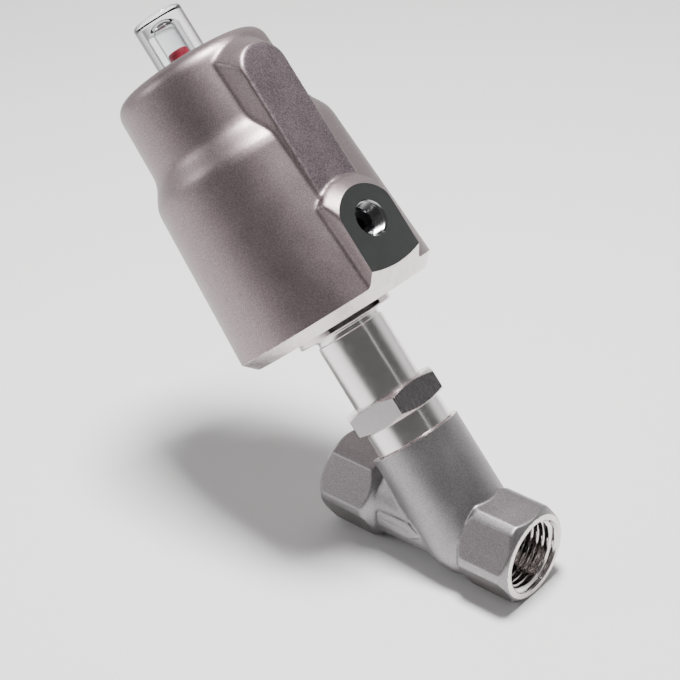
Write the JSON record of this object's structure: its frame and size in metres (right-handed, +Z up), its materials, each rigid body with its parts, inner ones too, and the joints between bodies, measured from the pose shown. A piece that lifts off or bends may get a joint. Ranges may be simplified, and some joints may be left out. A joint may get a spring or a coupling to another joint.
{
  "type": "angle seat valve",
  "caption": "Pneumatic angle seat valve: threaded steel globe body, leaning spindle tube, cylindrical cast piston actuator with side air channel, pilot port and sight glass.",
  "frame": {"origin": "centre of the inlet port's end face, on the pipe axis", "axes": "+X along the pipe from inlet to outlet, +Z up, valve axis in the XZ plane leaning towards the inlet"},
  "size_m": [0.1299, 0.0596, 0.1402],
  "materials": {
    "cast_steel": "investment cast stainless steel, bead blasted",
    "housing_steel": "cast stainless steel, bead blasted, faint warm tint",
    "polished_steel": "polished stainless steel",
    "turned_steel": "turned stainless steel",
    "spring_steel": "drawn spring wire",
    "piston_aluminium": "turned aluminium",
    "ptfe": "white PTFE",
    "filled_ptfe": "carbon filled PTFE",
    "graphite": "graphite gasket sheet",
    "bronze": "bearing bronze",
    "seal_rubber": "matt black",
    "indicator_red": "red moulded plastic",
    "clear_plastic": "clear moulded plastic"
  },
  "bodies": {
    "root": {"valve_body": "cast_steel", "bonnet_gasket": "graphite", "bonnet": "polished_steel", "spindle_tube": "polished_steel", "spindle_wiper": "ptfe", "packing_support_ring": "filled_ptfe", "packing_rings": "ptfe", "packing_pressure_ring": "filled_ptfe", "packing_spring": "spring_steel", "spindle_guide": "bronze"},
    "stem": {"spindle": "polished_steel", "valve_plug": "turned_steel", "plug_cross_pin": "turned_steel", "seat_seal": "ptfe", "seal_retainer": "turned_steel", "plug_nut": "turned_steel", "piston": "piston_aluminium", "piston_guide_ring": "filled_ptfe", "piston_seal": "seal_rubber", "piston_nut": "turned_steel", "indicator_rod": "turned_steel", "position_indicator": "indicator_red"},
    "actuator": {"actuator_housing": "housing_steel", "base_cover": "turned_steel", "base_o_ring": "seal_rubber", "snap_ring": "turned_steel", "tube_o_ring": "seal_rubber", "spindle_o_ring": "seal_rubber", "retaining_clip": "turned_steel", "spring_seat": "turned_steel", "return_spring_outer": "spring_steel", "return_spring_inner": "spring_steel", "sight_glass": "clear_plastic", "sight_glass_o_ring": "seal_rubber"}
  },
  "joints": [
    {"name": "stem_lift", "type": "slide", "parent": "root", "child": "stem", "axis": [-0.6428, 0, 0.766], "range_m": [0, 0.0075], "stiffness_N_per_m": 3500, "springref_m": -0.008, "deforming": ["return_spring_outer", "return_spring_inner"]},
    {"name": "actuator_swivel", "type": "hinge", "parent": "root", "child": "actuator", "pos_m": [0.00138, 0, 0.05079], "axis": [-0.6428, 0, 0.766], "continuous": true}
  ]
}
